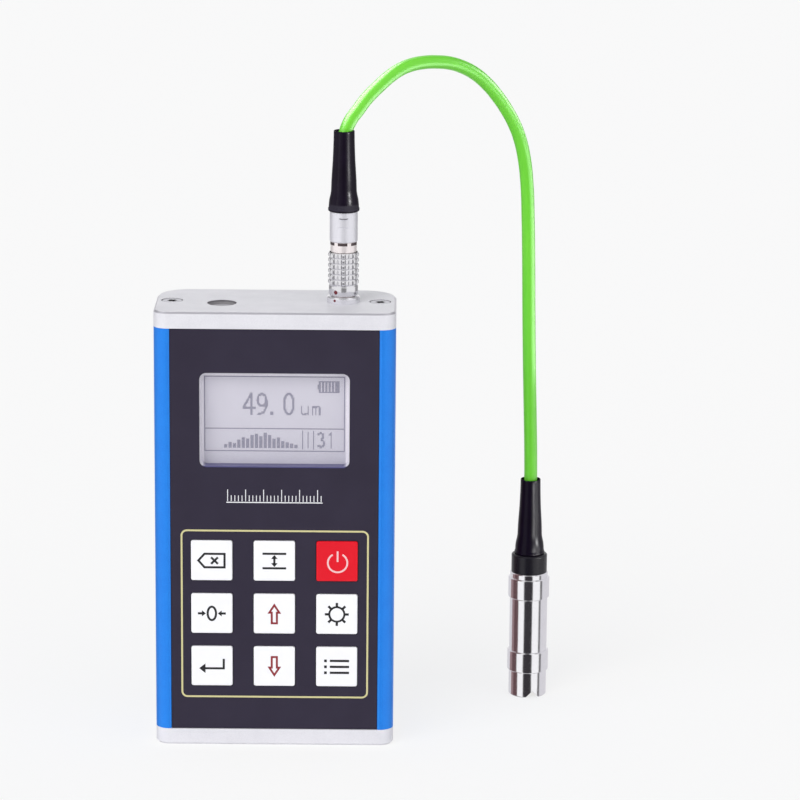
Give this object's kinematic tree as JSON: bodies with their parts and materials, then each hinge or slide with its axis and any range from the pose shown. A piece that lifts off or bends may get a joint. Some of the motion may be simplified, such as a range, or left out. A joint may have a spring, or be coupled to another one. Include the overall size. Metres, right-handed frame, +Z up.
{
  "type": "coating thickness gauge",
  "caption": "Hand-held coating thickness gauge: extruded case with display and square keys, machined end caps, and a sprung probe on a short lead with a push-pull plug.",
  "frame": {"origin": "centre of the lower end cap's flat underside, on which the gauge stands", "axes": "+Z up along the case, the display and keys face -Y, +X towards the probe connector"},
  "size_m": [0.1125, 0.0556, 0.1921],
  "materials": {
    "blue_anodised": "satin blue anodised extrusion",
    "cap_silver": "clear anodised, finely blasted",
    "screw_steel": "bright turned steel",
    "overlay_film": "fine-grained printed film",
    "spacer_film": "plain film",
    "circuit_film": "printed circuit film",
    "dome_steel": "stamped steel",
    "key_white": "satin moulded",
    "key_red": "satin moulded",
    "bezel_lilac": "satin moulded",
    "window_clear": "clear, polished",
    "display_grey": "reflective display film",
    "backlight_white": "diffuser",
    "board_green": "solder mask",
    "chip_black": "moulded",
    "tray_grey": "moulded",
    "cell_jacket": "printed jacket",
    "spring_steel": "bright wire",
    "contact_brass": "plated",
    "port_black": "moulded",
    "connector_chrome": "satin chrome plate",
    "insert_white": "moulded",
    "boot_black": "soft moulded",
    "lead_green": "glossy lead jacket",
    "probe_chrome": "polished chrome plate",
    "collar_black": "turned",
    "core_brass": "turned",
    "tip_steel": "polished hard metal"
  },
  "bodies": {
    "case": {"case_shell": "blue_anodised", "top_cap": "cap_silver", "bottom_cap": "cap_silver", "top_cap_screws": "screw_steel", "bottom_cap_screws": "screw_steel", "front_overlay": "overlay_film", "key_spacer": "spacer_film", "key_circuit": "circuit_film", "key_domes": "dome_steel", "lcd_bezel": "bezel_lilac", "lcd_window": "window_clear", "lcd_glass": "display_grey", "lcd_backlight": "backlight_white", "main_board": "board_green", "processor_chip": "chip_black", "buzzer": "chip_black", "battery_tray": "tray_grey", "battery_cells": "cell_jacket", "battery_springs": "spring_steel", "battery_contacts": "contact_brass", "data_port": "port_black", "probe_socket": "connector_chrome", "socket_insert": "insert_white", "socket_nut": "connector_chrome"},
    "cover": {"battery_cover": "tray_grey"},
    "lead": {"plug_body": "connector_chrome", "plug_insert": "insert_white", "plug_pins": "contact_brass", "sleeve_spring": "spring_steel", "clamp_nut": "connector_chrome", "plug_boot": "boot_black", "probe_lead": "lead_green", "probe_boot": "boot_black", "probe_collar": "collar_black", "probe_sleeve": "probe_chrome", "probe_spring": "spring_steel"},
    "sleeve": {"release_sleeve": "connector_chrome"},
    "sensor": {"probe_core": "core_brass", "probe_tip": "tip_steel"},
    "clear_key": {"key_clear": "key_white"},
    "limit_key": {"key_limit": "key_white"},
    "power_key": {"key_power": "key_red"},
    "zero_key": {"key_zero": "key_white"},
    "up_key": {"key_up": "key_white"},
    "backlight_key": {"key_backlight": "key_white"},
    "exit_key": {"key_exit": "key_white"},
    "down_key": {"key_down": "key_white"},
    "menu_key": {"key_menu": "key_white"}
  },
  "joints": [
    {"name": "battery_cover_tilt", "type": "hinge", "parent": "case", "child": "cover", "pos_m": [0, 0.0155, 0.00965], "axis": [-1, 0, 0], "range_deg": [0, 75]},
    {"name": "plug_pull", "type": "slide", "parent": "case", "child": "lead", "axis": [0, 0, 1], "range_m": [0, 0.012]},
    {"name": "sleeve_release", "type": "slide", "parent": "lead", "child": "sleeve", "axis": [0, 0, 1], "range_m": [0, 0.0015], "stiffness_N_per_m": 400, "deforming": ["sleeve_spring"]},
    {"name": "tip_float", "type": "slide", "parent": "lead", "child": "sensor", "axis": [0, 0, 1], "range_m": [-0.0015, 0.001], "stiffness_N_per_m": 150, "springref_m": -0.0015, "deforming": ["probe_spring"]},
    {"name": "clear_key_press", "type": "slide", "parent": "case", "child": "clear_key", "axis": [0, 1, 0], "range_m": [0, 0.0004], "stiffness_N_per_m": 300},
    {"name": "limit_key_press", "type": "slide", "parent": "case", "child": "limit_key", "axis": [0, 1, 0], "range_m": [0, 0.0004], "stiffness_N_per_m": 300},
    {"name": "power_key_press", "type": "slide", "parent": "case", "child": "power_key", "axis": [0, 1, 0], "range_m": [0, 0.0004], "stiffness_N_per_m": 300},
    {"name": "zero_key_press", "type": "slide", "parent": "case", "child": "zero_key", "axis": [0, 1, 0], "range_m": [0, 0.0004], "stiffness_N_per_m": 300},
    {"name": "up_key_press", "type": "slide", "parent": "case", "child": "up_key", "axis": [0, 1, 0], "range_m": [0, 0.0004], "stiffness_N_per_m": 300},
    {"name": "backlight_key_press", "type": "slide", "parent": "case", "child": "backlight_key", "axis": [0, 1, 0], "range_m": [0, 0.0004], "stiffness_N_per_m": 300},
    {"name": "exit_key_press", "type": "slide", "parent": "case", "child": "exit_key", "axis": [0, 1, 0], "range_m": [0, 0.0004], "stiffness_N_per_m": 300},
    {"name": "down_key_press", "type": "slide", "parent": "case", "child": "down_key", "axis": [0, 1, 0], "range_m": [0, 0.0004], "stiffness_N_per_m": 300},
    {"name": "menu_key_press", "type": "slide", "parent": "case", "child": "menu_key", "axis": [0, 1, 0], "range_m": [0, 0.0004], "stiffness_N_per_m": 300}
  ]
}
